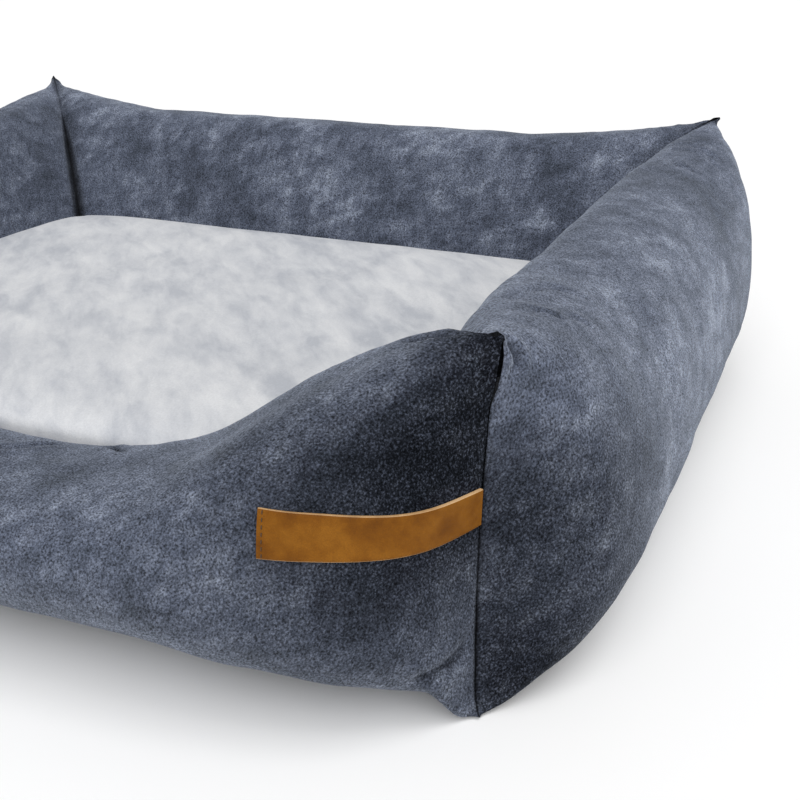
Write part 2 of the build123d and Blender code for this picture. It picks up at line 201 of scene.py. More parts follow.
def normals_of(grid):
    """Outward unit normals of a grid that closes across its rows."""
    along = np.gradient(grid, axis=0)
    wrapped = np.concatenate([grid[:, -1:], grid, grid[:, :1]], axis=1)
    normals = np.cross(along, (wrapped[:, 2:] - wrapped[:, :-2]) / 2)
    length = np.linalg.norm(normals, axis=-1, keepdims=True)
    return normals / np.maximum(length, tiny)


# How near a corner seam the normals lean into its plane
seam_lean_reach = 0.005


def seam_normals(side, normals, distance, turn):
    """A wall's normals, leaned into the plane of the corner seam beside them, so both walls move alike."""
    start = place(side, np.zeros(2), np.zeros(2), np.zeros(2))
    ways = (place(side, np.array([1.0, -1.0]), np.array([-1.0, -1.0]), np.zeros(2)) - start) / np.sqrt(2)
    way = np.where((turn > 0)[:, None, None], ways[0], ways[1])
    near = np.exp(-(distance / seam_lean_reach) ** 2)[:, None, None]
    return normals - near * (normals * way).sum(axis=-1, keepdims=True) * way


def line_distance(points, line):
    """Distance from each point to a line of straight runs, and the share of the way along it."""
    best = np.full(points.shape[:-1], np.inf)
    share = np.zeros(points.shape[:-1])
    line = np.array(line)
    for run, (start, end) in enumerate(zip(line, line[1:])):
        way = end - start
        along = np.clip((points - start) @ way / (way @ way), 0, 1)
        gap = np.linalg.norm(points - start - along[..., None] * way, axis=-1)
        nearer = gap < best
        best = np.where(nearer, gap, best)
        share = np.where(nearer, (run + along) / (len(line) - 1), share)
    return best, share


# A crease: how soon it fades at its ends, and how high and how far out the soft lips beside it are, as shares
crease_end_share = 0.04
crease_fade_power = 0.6
crease_lip_shares = (0.35, 1.9)


def crease(points, line, depth, width):
    """Lift of a crease along a line: a furrow that fades at its ends, with a soft lip on each side."""
    gap, share = line_distance(points, line)
    fade = np.sin(pi * np.clip(share, crease_end_share, 1 - crease_end_share)) ** crease_fade_power
    near = gap / width
    lip_height, lip_place = crease_lip_shares
    return depth * fade * (lip_height * np.exp(-((near - lip_place) ** 2)) - np.exp(-(near ** 2)))


# Folds at every ear: kind of wall, depth, width, and points by distance from the ear, outward and up
ear_folds = (
    ("entry", 0.0046, 0.0024,
     ((0.023, -0.012, 0.2645), (0.017, -0.01, 0.2657), (0.0126, -0.008, 0.2661), (0.004, -0.003, 0.267))),
    ("entry", 0.0032, 0.0030,
     ((0.068, -0.024, 0.25), (0.055, -0.018, 0.256), (0.044, -0.013, 0.26), (0.03, -0.009, 0.264))),
    ("entry", 0.0022, 0.0050,
     ((0.026, 0.014, 0.224), (0.0156, 0.003, 0.2185), (0.008, -0.004, 0.215))),
    ("entry", 0.0040, 0.0065,
     ((0.014, -0.011, 0.06), (0.0227, 0.002, 0.0552), (0.0351, 0.024, 0.0513), (0.0406, 0.028, 0.0462))),
    ("side", 0.0052, 0.0030,
     ((0.011, -0.003, 0.265), (0.0132, 0.001, 0.2578), (0.015, 0.003, 0.252), (0.0152, 0.003, 0.248),
      (0.013, 0.001, 0.244))),
    ("side", -0.0022, 0.0028,
     ((0.006, -0.003, 0.264), (0.0065, -0.003, 0.2547), (0.0071, -0.004, 0.2483), (0.0062, -0.005, 0.243))),
    ("side", 0.0024, 0.0040,
     ((0.0784, -0.009, 0.2571), (0.095, -0.009, 0.254), (0.1, 0.002, 0.2515), (0.101, 0.012, 0.245))),
    ("side", 0.0022, 0.0045,
     ((0.1086, -0.028, 0.2537), (0.141, -0.028, 0.2511), (0.1628, -0.017, 0.2478), (0.1666, 0.002, 0.2421))),
    ("side", 0.0018, 0.0040,
     ((0.096, 0.003, 0.251), (0.1183, 0.012, 0.2434), (0.1193, 0.021, 0.2376))),
    ("side", 0.0045, 0.0070,
     ((0.016, 0.01, 0.056), (0.024, 0.026, 0.046), (0.038, 0.036, 0.042))),
)
ear_folds_reach = 0.20
# Tucks along the entry's low top edge: depth, width, and points along from its middle, outward and up
dip_folds = (
    (0.0060, 0.0040,
     ((0.08, 0.0, 0.133), (0.103, -0.015, 0.132), (0.112, -0.028, 0.129), (0.118, -0.034, 0.124))),
    (0.0045, 0.0034, ((0.16, -0.04, 0.129), (0.17, -0.036, 0.133), (0.188, -0.024, 0.14))),
    (0.0020, 0.0045, ((0.145, 0.01, 0.139), (0.165, 0.015, 0.14), (0.182, 0.018, 0.142))),
    (0.0050, 0.0040, ((-0.205, -0.034, 0.13), (-0.18, -0.02, 0.134), (-0.15, -0.01, 0.133))),
    (0.0035, 0.0036, ((-0.04, 0.0, 0.1335), (-0.025, -0.02, 0.131), (-0.02, -0.032, 0.126))),
)
fold_start = 0.005

# Loose filling under the cloth: depth, size and seed of each layer, and how soon it starts from the seams
loose_layers = ((0.0022, 0.105, 11), (0.0011, 0.042, 12), (0.0005, 0.018, 13))
loose_start = 0.05
# Gathers round the ears, on the upper part of a wall
gather_depth = 0.0013
gather_reach = 0.11
gather_start = (0.012, 0.05)
gather_heights = (0.10, 0.22)
gather_width, gather_length = 0.016, 0.075
gather_slice = 3.5
gather_seeds = {"front": 19, "back": 18, "left": 18, "right": 19}

# Corner seams: depth and width of the stitched groove, and of the valley that ripples beside it
seam_groove = (0.0014, 0.0013)
seam_valley = (0.0010, 0.0160)
ripple_share, ripple_size, ripple_seed = 0.8, 0.012, 21
seam_line = 0.0007
# On a wall's inner side the seam is deeper, with a wide painted shadow beside its dark line
inner_groove = (0.0050, 0.0070)
inner_painted_shadow_width = 0.0080
inner_sides = (-0.020, -0.060)
inner_heights = (0.262, 0.180)
hem_height = 0.016

# The seam by the strip is drawn to the right at its top
pull_centre = np.array([0.466, ear_centre_y - 0.381])
pull_way = np.array([0.0042, 0.0006, 0.0])
pull_reach = 0.030
pull_heights = (0.218, 0.246)
pull_tip_share = 0.5
pull_tip_heights = (0.255, 0.270)
# Every other ear ends in a small stiff tab of cloth, lower at the right
tab_reach = 0.013
tab_heights = (0.245, 0.264)
tab_rise, tab_fall = 0.0090, 0.0070
tab_fall_places = (0.0, 0.4)
no_tab_reach = 0.10

# Painted shade on each kind of wall: how dark it is beside the corner seams, how far that reaches and how it
# fades towards the ear and the foot, how dark it is low down, and how light a painted highlight on top is
painted_shades = {
    "entry": {
        "corner": 1.0, "reach": 0.050, "reach_below": 0.085, "power": 2.5, "top_heights": (0.300, 0.280),
        "foot": 0.25, "foot_more": 0.75, "foot_heights": (0.05, 0.16),
        "low": 0.25, "low_heights": (0.15, 0.04), "light": 0.0, "crown": 1.0,
    },
    "side": {
        "corner": 0.80, "reach": 0.150, "reach_below": 0.0, "power": 1.6, "top_heights": (0.250, 0.200),
        "foot": 0.75, "foot_more": 0.25, "foot_heights": (0.04, 0.15),
        "low": 0.35, "low_heights": (0.13, 0.03), "light": 0.5, "crown": 0.0,
    },
}
# Where the painted shade reaches further down and covers the crown, where the painted highlight lies, how it
# fades at the back, and how dark the painted shade in folds and on the ear tabs is
painted_shade_below_heights = (0.255, 0.190)
painted_shade_outside = (-0.05, 0.0)
painted_shade_crown_gaps, painted_shade_crown_sides = (0.045, 0.015), (-0.09, -0.05)
painted_highlight_heights, painted_highlight_sides = (0.15, 0.23), (-0.080, -0.030)
painted_shade_back_share, painted_shade_back_places = 0.6, (-0.20, 0.25)
painted_fold_shade_share, painted_fold_shade_depth = 0.85, 0.0025


def wall_kind(side):
    """Which folds and painted shade a wall has."""
    return "entry" if side in ("front", "back") else "side"


def stations(side):
    """Where the rings along a wall are, from -1 to 1, and how far each is from the nearer ear."""
    turn = np.sin(np.linspace(-pi / 2, pi / 2, wall_steps))
    return turn, (1 - np.abs(turn)) * half_lengths[side]


def fold_lift(side, points, distance, turn):
    """Lift of the listed folds over a wall."""
    lift = np.zeros(points.shape[:-1])
    for end in (-1, 1):
        rows = np.flatnonzero((turn * end > 0) & (distance < ear_folds_reach))
        for kind, depth, width, line in ear_folds:
            if kind == wall_kind(side):
                line = np.array(line)
                shape = place(side, end * (half_lengths[side] - line[:, 0]), line[:, 1], line[:, 2])
                lift[rows] += crease(points[rows], shape, depth, width)
    if side == "front":
        for depth, width, line in dip_folds:
            line = np.array(line)
            lift += crease(points, place(side, line[:, 0], line[:, 1], line[:, 2]), depth, width)
    return lift * smooth(0.0, fold_start, distance)[:, None]


def inner_share(rings):
    """1 on a wall's inner side, down to 0 on its top and outside."""
    return smooth(*inner_sides, rings[..., 0]) * smooth(*inner_heights, rings[..., 1])


def furrow(distance, depth, width):
    """Lift of a furrow along a corner seam."""
    return depth * np.exp(-(distance / width) ** 2)[:, None]


def cloth_lift(side, points, rings, along, distance, folds):
    """Lift of the cloth over a wall: loose filling, gathers round the ears, folds and the corner seams."""
    # Lengths across the cloth from its crown, as measured at the wall's middle
    steps = np.linalg.norm(np.diff(rings[wall_steps // 2], axis=0), axis=1)
    across = np.concatenate([[0], np.cumsum(steps)])
    across = np.broadcast_to(across[crown_column] - across, along.shape)

    gathered = np.stack([along / gather_width, across / gather_length, np.full_like(along, gather_slice)], -1)
    gathers = 1 - 2 * np.abs(cloud(gathered, 1.0, gather_seeds[side]))
    near_ear = np.exp(-distance / gather_reach)[:, None]
    upper = smooth(*gather_heights, points[..., 2])
    ripple = cloud(np.stack([across, across, np.zeros_like(along)], -1), ripple_size, ripple_seed)

    loose = sum(depth * cloud(points, size, seed) for depth, size, seed in loose_layers)
    lift = loose * smooth(0.0, loose_start, distance)[:, None]
    lift = lift + gather_depth * gathers * near_ear * upper * smooth(*gather_start, distance)[:, None]
    lift = lift + folds
    lift = lift - furrow(distance, *seam_groove)
    lift = lift - furrow(distance, *seam_valley) * (1 + ripple_share * ripple)
    lift = lift - furrow(distance, *inner_groove) * inner_share(rings)
    return lift * smooth(base_top, hem_height, points[..., 2])


def ear_tabs(points, distance):
    """How near each point of a wall is to the stiff tab of an ear, from 0 to 1."""
    from_strip = np.linalg.norm(points[..., :2] - pull_centre, axis=-1)
    tab = np.exp(-(distance / tab_reach) ** 4)[:, None] * smooth(*tab_heights, points[..., 2])
    return tab * (1 - np.exp(-(from_strip / no_tab_reach) ** 2))


def pulled_top(points):
    """Points of a wall, with the top of the corner seam by the strip drawn to the right."""
    reach = np.linalg.norm(points[..., :2] - pull_centre, axis=-1)
    share = np.exp(-(reach / pull_reach) ** 2) * smooth(*pull_heights, points[..., 2])
    share *= 1 - pull_tip_share * smooth(*pull_tip_heights, points[..., 2])
    return points + share[..., None] * pull_way


def painted_shade(side, points, rings, distance, folds, tab):
    """Painted shade over a wall: from 1, dark, through 0 to -0.5, a painted highlight."""
    # Settings of the painted shade for this kind of wall
    nap = painted_shades[wall_kind(side)]
    out, height, gap = rings[..., 0], rings[..., 1], distance[:, None]
    outside = smooth(*painted_shade_outside, out)
    crown = smooth(*painted_shade_crown_gaps, gap) * smooth(*painted_shade_crown_sides, out)
    outside = np.maximum(outside, nap["crown"] * crown)

    reach = nap["reach"] + nap["reach_below"] * smooth(*painted_shade_below_heights, height)
    corner = nap["corner"] * np.exp(-(gap / reach) ** nap["power"]) * smooth(*nap["top_heights"], height)
    corner = corner * (nap["foot"] + nap["foot_more"] * smooth(*nap["foot_heights"], height))
    corner = corner * (1 - painted_shade_back_share * smooth(*painted_shade_back_places, points[..., 1]))
    low = nap["low"] * smooth(*nap["low_heights"], height)
    # A painted highlight on the upper outer side
    light = nap["light"] * smooth(*painted_highlight_heights, height) * smooth(*painted_highlight_sides, out)
    # Painted shade in the furrows of the folds
    painted_fold_shade = painted_fold_shade_share * np.clip(-folds / painted_fold_shade_depth, 0, 1)
    shade = np.maximum(np.clip((corner + low) * outside - light, -0.5, 1), painted_fold_shade - light)
    # The ear tabs take the same painted shade as the folds
    return np.maximum(shade, painted_fold_shade_share * tab)


def wall_grid(side):
    """Grid of points over a wall, with the painted shade over it and how near a corner seam is."""
    turn, distance = stations(side)
    rings = np.array([wall_outline(side, gap) for gap in distance])
    ear_outline = wall_outline(side, 0.0)
    along = turn[:, None] * (half_lengths[side] + ear_outline[None, :, 0])
    points = place(side, along, rings[..., 0], rings[..., 1])
    normals = seam_normals(side, normals_of(points), distance, turn)

    folds = fold_lift(side, points, distance, turn)
    points = points + normals * cloth_lift(side, points, rings, along, distance, folds)[..., None]
    points[..., 2] = np.clip(points[..., 2], base_top, ear_height)
    tab = ear_tabs(points, distance)
    points[..., 2] += (tab_rise - tab_fall * smooth(*tab_fall_places, points[..., 0])) * tab
    points = pulled_top(points)

    shade = painted_shade(side, points, rings, distance, folds, tab)
    # The dark seam line, widened on the inner side into a painted shadow
    seam_line_and_shadow_width = seam_line + inner_painted_shadow_width * inner_share(rings)
    return points, shade, np.exp(-(distance[:, None] / seam_line_and_shadow_width) ** 2)


def mesh_piece(name, vertices, faces, *materials):
    """A smooth mesh object from points and faces, with its materials."""
    mesh = bpy.data.meshes.new(name)
    mesh.from_pydata(np.asarray(vertices, float).tolist(), [], faces)
    mesh.validate()
    for material in materials:
        mesh.materials.append(material)
    mesh.shade_smooth()
    piece = bpy.data.objects.new(name, mesh)
    bpy.context.scene.collection.objects.link(piece)
    return piece


def dress(piece, body, nodes=()):
    """Attach a piece to the body it rides on, and hide the nodes it stands for."""
    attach(piece, body)
    if nodes:
        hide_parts(*nodes)


def store(piece, name, values):
    """Store a number at each point of a piece, for its material."""
    layer = piece.data.attributes.new(name, "FLOAT", "POINT")
    layer.data.foreach_set("value", np.asarray(values, np.float32))


def sheet_faces(rows, columns, start):
    """Faces of an open grid of points, whose first point has the number start."""
    return [
        (corner, corner + columns, corner + columns + 1, corner + 1)
        for row in range(rows - 1)
        for corner in range(start + row * columns, start + row * columns + columns - 1)
    ]


def tube_faces(rows, columns):
    """Faces of a tube: a grid of points that joins up across its rows."""
    return [
        (row * columns + column, row * columns + (column + 1) % columns,
         (row + 1) * columns + (column + 1) % columns, (row + 1) * columns + column)
        for row in range(rows - 1)
        for column in range(columns)
    ]


def closed_tube(rows, columns):
    """Faces of a tube with a face at each end."""
    ends = [tuple(range(columns))[::-1], tuple(range((rows - 1) * columns, rows * columns))]
    return tube_faces(rows, columns) + ends


# The twill's flecks run up to the right on the entry wall, and up towards the entry on the side walls
fleck_way = Vector((0.6, -0.6, 0.8))
fleck_turn = tuple(fleck_way.rotation_difference(Vector((1, 0, 0))).to_euler())
# Between which values the mixed noises of the clouds and of the flecks lie
cloud_range = (0.38, 0.62)
fleck_range = (0.36, 0.66)


class Look:
    """A material's node tree, with short ways to add nodes and link them."""

    def __init__(self, name):
        self.material = bpy.data.materials.new(name)
        self.material.use_nodes = True
        self.tree = self.material.node_tree
        self.shader = self.tree.nodes["Principled BSDF"]

    def add(self, kind, **inputs):
        """A node of a kind, with its inputs as values or as other nodes' outputs."""
        node = self.tree.nodes.new(f"ShaderNode{kind}")
        for key, value in inputs.items():
            self.feed(node.inputs[key.replace("_", " ")], value)
        return node

    def feed(self, socket, value):
        """Set a socket to a value, or link it to an output."""
        if isinstance(value, bpy.types.NodeSocket):
            self.tree.links.new(value, socket)
        else:
            socket.default_value = value

    def finished(self, **inputs):
        """The material, with the shader's own inputs set or linked."""
        for key, value in inputs.items():
            self.feed(self.shader.inputs[key.replace("_", " ")], value)
        return self.material

    def spot(self):
        """The point on the object at rest."""
        return self.add("TexCoord").outputs["Object"]

    def stored(self, name):
        """A number stored at the piece's points."""
        node = self.add("Attribute")
        node.attribute_name = name
        return node.outputs["Fac"]

    def stretched(self, vector, scale, turn=(0, 0, 0)):
        """Coordinates turned, then scaled."""
        turned = self.add("Mapping", Vector=vector, Rotation=turn).outputs[0]
        return self.add("Mapping", Vector=turned, Scale=scale).outputs[0]

    def noise(self, vector, scale, detail=2.0, roughness=0.5, distortion=0.0):
        """Noise from 0 to 1, mostly near a half."""
        inputs = {"Vector": vector, "Scale": scale, "Detail": detail, "Roughness": roughness}
        return self.add("TexNoise", Distortion=distortion, **inputs).outputs["Fac"]

    def ribs(self, vector, spacing):
        """Parallel ribs across the first coordinate, a spacing apart."""
        return self.add("TexWave", Vector=vector, Scale=pi / (10 * spacing)).outputs["Fac"]

    def cells(self, vector, scale):
        """Distance to the nearest of many scattered points."""
        return self.add("TexVoronoi", Vector=vector, Scale=scale).outputs["Distance"]

    def ramp(self, value, *stops):
        """A colour ramp through places and colours."""
        node = self.add("ValToRGB", Fac=value)
        elements = node.color_ramp.elements
        while len(elements) < len(stops):
            elements.new(0.5)
        for element, (position, colour) in zip(elements, stops):
            element.position = position
            element.color = (*colour, 1)
        return node.outputs["Color"]

    def level(self, value, low, high, to_low=0.0, to_high=1.0):
        """Stretch a range of values to another, and clamp it."""
        inputs = {"From_Min": low, "From_Max": high, "To_Min": to_low, "To_Max": to_high}
        return self.add("MapRange", Value=value, **inputs).outputs["Result"]

    def maths(self, operation, first, second=0.0):
        """A sum, product or other combination of two values."""
        node = self.add("Math")
        node.operation = operation
        self.feed(node.inputs[0], first)
        self.feed(node.inputs[1], second)
        return node.outputs[0]

    def times(self, first, second):
        """A product of two values."""
        return self.maths("MULTIPLY", first, second)

    def mixed(self, *parts):
        """A sum of values, each times its share."""
        total = None
        for value, share in parts:
            part = self.times(value, share)
            total = part if total is None else self.maths("ADD", total, part)
        return total

    def scaled(self, colour, factor):
        """A colour made lighter or darker by a factor."""
        node = self.add("VectorMath")
        node.operation = "SCALE"
        self.feed(node.inputs[0], colour)
        self.feed(node.inputs["Scale"], factor)
        return node.outputs[0]

    def bump(self, height, depth, strength):
        """A bumped normal."""
        return self.add("Bump", Height=height, Distance=depth, Strength=strength).outputs["Normal"]


def velour_material():
    """Short-pile slate velour: clouds and strokes of nap that lies differently, over fine slanting flecks."""
    look = Look("slate_velour")
    spot, shade, seam = look.spot(), look.stored("shade"), look.stored("seam")
    clouds = look.noise(spot, 9.0, 3.0, 0.55, 0.4)
    brushed = look.noise(look.stretched(spot, (30, 30, 62), (0.3, 0.4, 0.2)), 1.0, 4.0, 0.6, 0.4)
    strokes = look.noise(look.stretched(spot, (150, 150, 36), (0.2, -0.25, 0)), 1.0, 3.0, 0.6, 0.2)
    nap = look.mixed((clouds, 0.42), (brushed, 0.38), (strokes, 0.20))
    tone = look.ramp(
        look.level(nap, *cloud_range),
        (0.0, (0.036, 0.043, 0.060)),
        (0.4, (0.064, 0.075, 0.105)),
        (0.7, (0.103, 0.118, 0.158)),
        (1.0, (0.180, 0.203, 0.256)),
    )
    flecks = look.noise(look.stretched(spot, (230, 780, 780), fleck_turn), 1.0, 2.0, 0.6)
    pile = look.noise(spot, 900.0, 2.0, 0.6)
    grain = look.mixed((flecks, 0.7), (pile, 0.3))
    light = look.level(grain, *fleck_range, 0.25, 2.1)
    # The stored painted shade darkens the colour and lowers the specular and sheen, with the flecks still
    # showing as light specks; the seam's dark line and painted shadow darken it too
    painted_shade_factor = look.maths("SUBTRACT", 1.0, look.times(shade, 0.90))
    specks = look.times(look.level(grain, 0.52, 0.68, 0.0, 0.6), look.maths("MAXIMUM", shade, 0.0))
    seam_line_and_shadow_factor = look.maths("SUBTRACT", 1.0, look.times(seam, 0.92))
    lit = look.maths("ADD", look.times(light, painted_shade_factor), specks)
    painted_shade_on_sheen = look.times(painted_shade_factor, seam_line_and_shadow_factor)
    return look.finished(
        Base_Color=look.scaled(tone, look.times(lit, seam_line_and_shadow_factor)),
        Roughness=look.level(nap, *cloud_range, 0.95, 0.8),
        Normal=look.bump(grain, 0.0008, 0.7),
        Specular_IOR_Level=look.times(painted_shade_factor, 0.2),
        Sheen_Weight=look.times(look.level(grain, *fleck_range, 0.08, 0.52), painted_shade_on_sheen),
        Sheen_Roughness=0.45,
        Sheen_Tint=(0.70, 0.78, 0.92, 1),
    )


def ticking_material():
    """Light cool grey cloth with soft clouds and a fine nap."""
    look = Look("ticking")
    spot = look.spot()
    brushed_turn = (0, 0, -0.66)
    clouds = look.noise(look.stretched(spot, (14, 6, 14), brushed_turn), 1.0, 4.0, 0.6, 0.6)
    blotches = look.noise(look.stretched(spot, (44, 15, 44), brushed_turn), 1.0, 3.0, 0.6, 0.3)
    tone = look.ramp(
        look.level(look.mixed((clouds, 0.5), (blotches, 0.5)), *cloud_range),
        (0.0, (0.420, 0.437, 0.475)),
        (0.5, (0.540, 0.552, 0.579)),
        (1.0, (0.640, 0.647, 0.663)),
    )
    grain = look.noise(look.stretched(spot, (900, 500, 900), (0, 0, 0.4)), 1.0, 2.0, 0.6)
    return look.finished(
        Base_Color=look.scaled(tone, look.level(grain, 0.3, 0.7, 0.92, 1.06)),
        Roughness=look.level(blotches, 0.3, 0.7, 0.95, 0.85),
        Normal=look.bump(grain, 0.0005, 0.5),
        Specular_IOR_Level=0.2,
        Sheen_Weight=0.2,
        Sheen_Roughness=0.5,
    )


def leather_material(name, dark, middle, light):
    """Leather with a fine grain and slow changes of tone."""
    look = Look(name)
    spot = look.spot()
    patches = look.level(look.noise(spot, 38.0, 3.0, 0.6), 0.35, 0.65)
    tone = look.ramp(patches, (0.0, dark), (0.5, middle), (1.0, light))
    creases = look.noise(spot, 700.0, 3.0, 0.6)
    height = look.mixed((look.cells(spot, 1500.0), 0.6), (creases, 0.5))
    return look.finished(
        Base_Color=look.scaled(tone, look.level(height, 0.2, 0.8, 0.84, 1.14)),
        Roughness=look.level(creases, 0.3, 0.7, 0.46, 0.64),
        Normal=look.bump(height, 0.0003, 0.5),
        Specular_IOR_Level=0.12,
    )


def sheet_material():
    """Black coated cloth with rows of small rubber dots."""
    look = Look("anti_slip")
    spot = look.spot()
    weave = look.noise(spot, 1400.0, 2.0, 0.6)
    pitch = 0.0065
    parts = look.add("SeparateXYZ", Vector=spot)
    offsets = []
    for axis in ("X", "Y"):
        cell = look.maths("FRACT", look.times(parts.outputs[axis], 1 / pitch))
        offset = look.maths("SUBTRACT", cell, 0.5)
        offsets.append(look.times(offset, offset))
    dots = look.level(look.maths("ADD", *offsets), 0.035, 0.065, 1.0, 0.0)
    mixed = look.mixed((weave, 0.6), (dots, 0.5))
    return look.finished(
        Base_Color=look.ramp(mixed, (0.2, (0.007, 0.007, 0.008)), (0.9, (0.030, 0.030, 0.032))),
        Roughness=look.level(dots, 0.0, 1.0, 0.85, 0.5),
        Normal=look.bump(look.mixed((dots, 1.0), (weave, 0.12)), 0.0006, 0.8),
    )


def fibre_material():
    """White crimped fibre in a thin bag."""
    look = Look("fibre_filling")
    spot = look.spot()
    curls = look.noise(spot, 260.0, 4.0, 0.7, 2.5)
    tone = look.level(curls, 0.35, 0.65)
    return look.finished(
        Base_Color=look.ramp(tone, (0.0, (0.62, 0.62, 0.60)), (1.0, (0.84, 0.84, 0.82))),
        Roughness=look.level(curls, 0.3, 0.7, 1.0, 0.85),
        Normal=look.bump(curls, 0.003, 0.9),
        Specular_IOR_Level=0.2,
    )


def foam_material(name, dark, light):
    """Foam with open cells on a cut face."""
    look = Look(name)
    spot = look.spot()
    pores = look.mixed((look.cells(spot, 900.0), 0.7), (look.cells(spot, 320.0), 0.3))
    return look.finished(
        Base_Color=look.ramp(look.level(pores, 0.1, 0.7), (0.0, dark), (1.0, light)),
        Roughness=look.level(look.noise(spot, 60.0), 0.3, 0.7, 1.0, 0.88),
        Normal=look.bump(pores, 0.0008, 0.7),
        Specular_IOR_Level=0.2,
    )


def tape_material():
    """Dark woven zip tape, with fine ribs across it."""
    look = Look("zip_tape")
    spot = look.spot()
    ribs = look.ribs(spot, 0.0009)
    threads = look.noise(look.stretched(spot, (700, 2200, 2200)), 1.0, 2.0, 0.6)
    weave = look.mixed((ribs, 0.5), (threads, 0.5))
    return look.finished(
        Base_Color=look.ramp(weave, (0.2, (0.020, 0.024, 0.034)), (0.8, (0.062, 0.070, 0.092))),
        Roughness=look.level(threads, 0.3, 0.7, 0.95, 0.8),
        Normal=look.bump(weave, 0.0003, 0.7),
        Specular_IOR_Level=0.25,
    )


def coil_material():
    """Dark nylon coils, a turn every 1.6 mm along the chain."""
    look = Look("zip_coil")
    spot = look.spot()
    turns = look.ribs(spot, 0.0016)
    wear = look.noise(spot, 120.0, 3.0, 0.6)
    return look.finished(
        Base_Color=look.ramp(turns, (0.15, (0.012, 0.013, 0.017)), (0.8, (0.085, 0.092, 0.110))),
        Roughness=look.level(wear, 0.3, 0.7, 0.5, 0.32),
        Normal=look.bump(turns, 0.0007, 0.9),
    )


def metal_material():
    """Gunmetal with fine brushing and worn, paler patches."""
    look = Look("zip_metal")
    spot = look.spot()
    brushing = look.noise(look.stretched(spot, (300, 2600, 2600)), 1.0, 2.0, 0.6)
    wear = look.noise(spot, 220.0, 3.0, 0.6)
    tone = look.level(wear, 0.35, 0.7)
    return look.finished(
        Base_Color=look.ramp(tone, (0.0, (0.17, 0.17, 0.18)), (1.0, (0.40, 0.40, 0.41))),
        Roughness=look.level(look.mixed((brushing, 0.6), (wear, 0.4)), 0.3, 0.7, 0.42, 0.24),
        Normal=look.bump(brushing, 0.00006, 0.6),
        Metallic=1.0,
    )


def thread_material():
    """Dark brown waxed thread with a twist."""
    look = Look("waxed_thread")
    spot = look.spot()
    twist = look.noise(spot, 2400.0, 2.0, 0.6)
    return look.finished(
        Base_Color=look.ramp(twist, (0.3, (0.030, 0.015, 0.006)), (0.7, (0.085, 0.042, 0.016))),
        Roughness=look.level(twist, 0.3, 0.7, 0.7, 0.5),
        Normal=look.bump(twist, 0.0002, 0.6),
    )


def floor_material():
    """A plain pale floor."""
    look = Look("pale_floor")
    return look.finished(
        Base_Color=look.ramp(look.noise(look.spot(), 3.0, 3.0), (0.3, (0.945,) * 3), (0.7, (0.955,) * 3)),
        Roughness=0.75,
        Specular_IOR_Level=0.2,
    )


velour = velour_material()
ticking = ticking_material()
leather = leather_material("tan_leather", (0.115, 0.038, 0.002), (0.160, 0.056, 0.003), (0.210, 0.080, 0.006))
cut_leather = leather_material("cut_leather", (0.34, 0.20, 0.09), (0.44, 0.27, 0.13), (0.52, 0.34, 0.18))


# Walls: a stuffed velour cover, with its filling bag inside
wall_sharpness = radians(60)
bag_share = 0.88
bag_steps = 3
bag_ear_gap = 0.035

# The wall zip: its reach from the middle, the ways out of its tape and across it, and the room it takes
zip_reach = 0.330
zip_normal = np.array([0, 0.6351, -0.7724])
zip_across = np.array([0, 0.7724, 0.6351])
zip_half_width = 0.0190
zip_tape_thickness = 0.0008
zip_clearance = 0.0005
zip_fade_across, zip_fade_along = 0.008, 0.020
zip_lanes = 9
zip_lane_reach = 0.0035
zip_highest = 0.06


def under_zip(points):
    """Points of the back wall, pressed in where the zip's tape lies on the cloth."""
    tape = np.array([vertex.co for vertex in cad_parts["wall_zip_tape"].data.vertices])
    across, height = tape @ zip_across, tape @ zip_normal
    centre = (across.max() + across.min()) / 2
    lanes = np.linspace(across.min(), across.max(), zip_lanes)
    tops = [height[np.abs(across - lane) < zip_lane_reach].max() for lane in lanes]
    here, out = points @ zip_across, points @ zip_normal
    allowed = np.interp(here, lanes, tops) - zip_tape_thickness - zip_clearance
    beside = smooth(zip_half_width + zip_fade_across, zip_half_width, np.abs(here - centre))
    beyond = smooth(zip_reach + zip_fade_along, zip_reach, np.abs(points[..., 0]))
    low_outside = (points[..., 1] > ear_centre_y + ear_span_y / 2) & (points[..., 2] < zip_highest)
    press = np.clip(out - allowed, 0, None) * beside * beyond * low_outside
    return points - press[..., None] * zip_normal


wall_grids = {}
fibre = fibre_material()
for side in half_lengths:
    grid, shade, seam = wall_grid(side)
    if side == "back":
        grid = under_zip(grid)
    wall_grids[side] = grid
    wall = mesh_piece(f"wall_{side}", grid.reshape(-1, 3), closed_tube(*grid.shape[:2]), velour)
    wall.data.set_sharp_from_angle(angle=wall_sharpness)
    # Painted shade, and the dark seam line with its painted shadow on the inner side, for the velour
    store(wall, "shade", shade.ravel())
    store(wall, "seam", seam.ravel())
    dress(wall, "bed", [f"cover_{side}"])

    bag_grid = grid[stations(side)[1] > bag_ear_gap][::bag_steps, ::bag_steps]
    middle = bag_grid.mean(axis=1, keepdims=True)
    bag_grid = middle + (bag_grid - middle) * bag_share
    bag = mesh_piece(f"fibre_bag_{side}", bag_grid.reshape(-1, 3), closed_tube(*bag_grid.shape[:2]), fibre)
    dress(bag, "bed", [f"filling_{side}"])

# Leather strip on the entry wall, from its free end to the corner seam, and the heights of its edges
label_left = 0.3522
label_seam_gap = 0.0030
label_low, label_high = 0.1475, 0.1760
# How far both edges sink towards the seam, how far the free end hangs, and how far its top leans out
label_sag = (0.0030, 0.0062)
label_sag_end = 0.462
label_droop = 0.0035
label_droop_reach = 0.06
label_slant = 0.0012
label_thickness = 0.0022
label_lift = 0.0003
label_bevel = 0.0004
label_columns, label_rows = 90, 14
label_settling = 30
leather_sharpness = radians(50)


def at_height(points, values, height):
    """Values where a column of points, foot to crown, first reaches a height."""
    index = max(1, int(np.argmax(points[:, 2] >= height)))
    share = (height - points[index - 1, 2]) / (points[index, 2] - points[index - 1, 2])
    return values[index - 1] + (values[index] - values[index - 1]) * share


